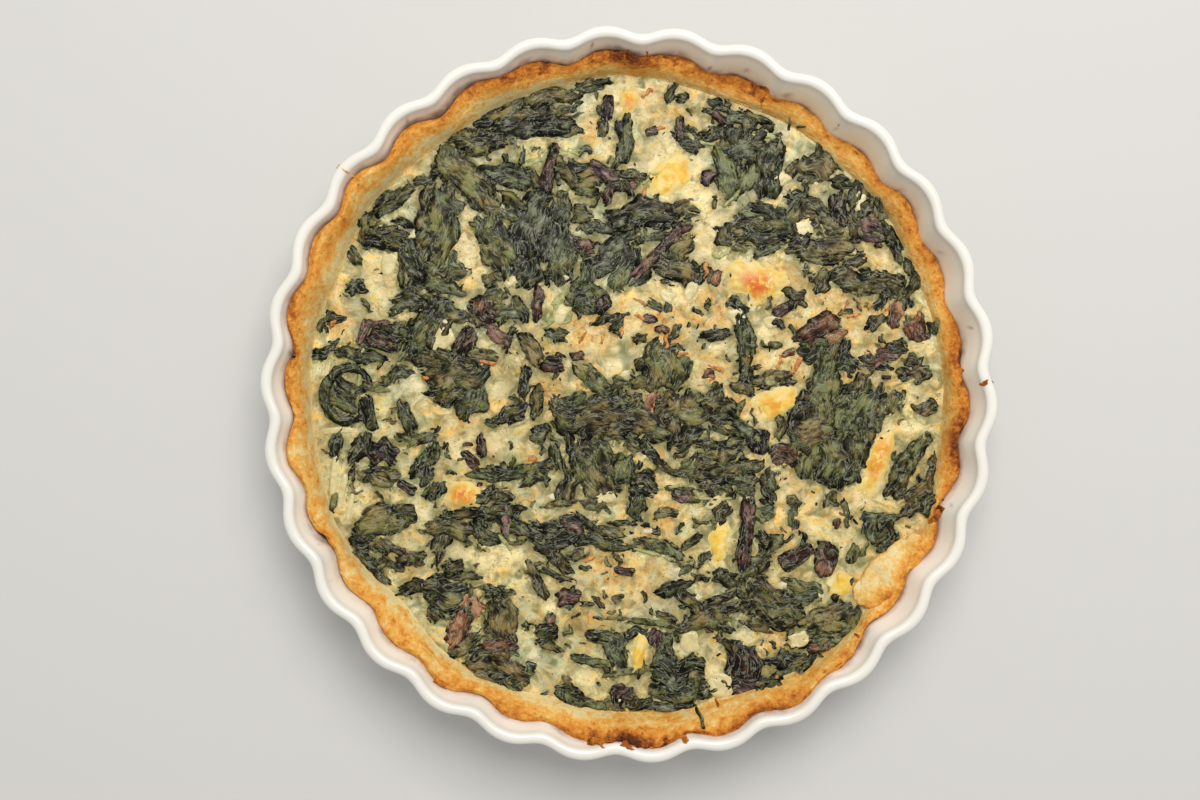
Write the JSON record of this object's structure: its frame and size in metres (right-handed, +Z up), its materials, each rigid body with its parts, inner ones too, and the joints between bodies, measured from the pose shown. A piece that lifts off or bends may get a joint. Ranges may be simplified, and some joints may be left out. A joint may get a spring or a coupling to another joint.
{
  "type": "spinach quiche in its baking dish",
  "caption": "Round spinach quiche with a browned pastry rim, set custard, wilted greens and melted cheese, in its own white fluted ceramic dish.",
  "frame": {"origin": "middle of the dish's flat underside", "axes": "+Z up out of the dish, +X to the right and +Y away from a viewer who looks down on it with the tall browned stretch of the rim nearest"},
  "size_m": [0.28, 0.2796, 0.038],
  "materials": {
    "white_glaze": "smooth white glaze, a few baked-on stains inside",
    "baked_pastry": "baked shortcrust, browned at the rim and paler inside",
    "set_custard": "set egg custard, slightly glossy, browned in spots",
    "melted_cheese": "melted cheese, softly glossy, toasted in spots",
    "purple_stem": "dark purple stem and leaf, wet and ribbed",
    "wilted_leaf": "dark green wilted leaf, wet and wrinkled"
  },
  "bodies": {
    "root": {"cheese_01": "melted_cheese", "cheese_02": "melted_cheese", "cheese_03": "melted_cheese", "cheese_04": "melted_cheese", "cheese_05": "melted_cheese", "cheese_06": "melted_cheese", "cheese_07": "melted_cheese", "cheese_08": "melted_cheese", "cheese_09": "melted_cheese", "crust": "baked_pastry", "curled_leaf": "wilted_leaf", "dish": "white_glaze", "filling": "set_custard", "leaf_01": "wilted_leaf", "leaf_02": "wilted_leaf", "leaf_03": "wilted_leaf", "leaf_04": "wilted_leaf", "leaf_05": "wilted_leaf", "leaf_06": "wilted_leaf", "leaf_07": "wilted_leaf", "leaf_08": "wilted_leaf", "leaf_09": "wilted_leaf", "leaf_10": "wilted_leaf", "leaf_11": "wilted_leaf", "leaf_12": "wilted_leaf", "leaf_13": "wilted_leaf", "leaf_14": "wilted_leaf", "leaf_15": "wilted_leaf", "leaf_16": "wilted_leaf", "leaf_17": "wilted_leaf", "leaf_18": "wilted_leaf", "leaf_19": "wilted_leaf", "leaf_20": "wilted_leaf", "leaf_21": "wilted_leaf", "leaf_22": "wilted_leaf", "leaf_23": "wilted_leaf", "leaf_24": "wilted_leaf", "leaf_25": "wilted_leaf", "leaf_26": "wilted_leaf", "leaf_27": "wilted_leaf", "leaf_28": "wilted_leaf", "leaf_29": "wilted_leaf", "leaf_30": "wilted_leaf", "leaf_31": "wilted_leaf", "leaf_32": "wilted_leaf", "pastry_flap": "baked_pastry", "purple_01": "purple_stem", "purple_02": "purple_stem", "purple_03": "purple_stem", "purple_04": "purple_stem", "purple_05": "purple_stem", "purple_06": "purple_stem", "purple_07": "purple_stem", "purple_08": "purple_stem", "purple_09": "purple_stem", "purple_10": "purple_stem", "purple_11": "purple_stem", "purple_12": "purple_stem", "purple_13": "purple_stem"}
  },
  "joints": []
}
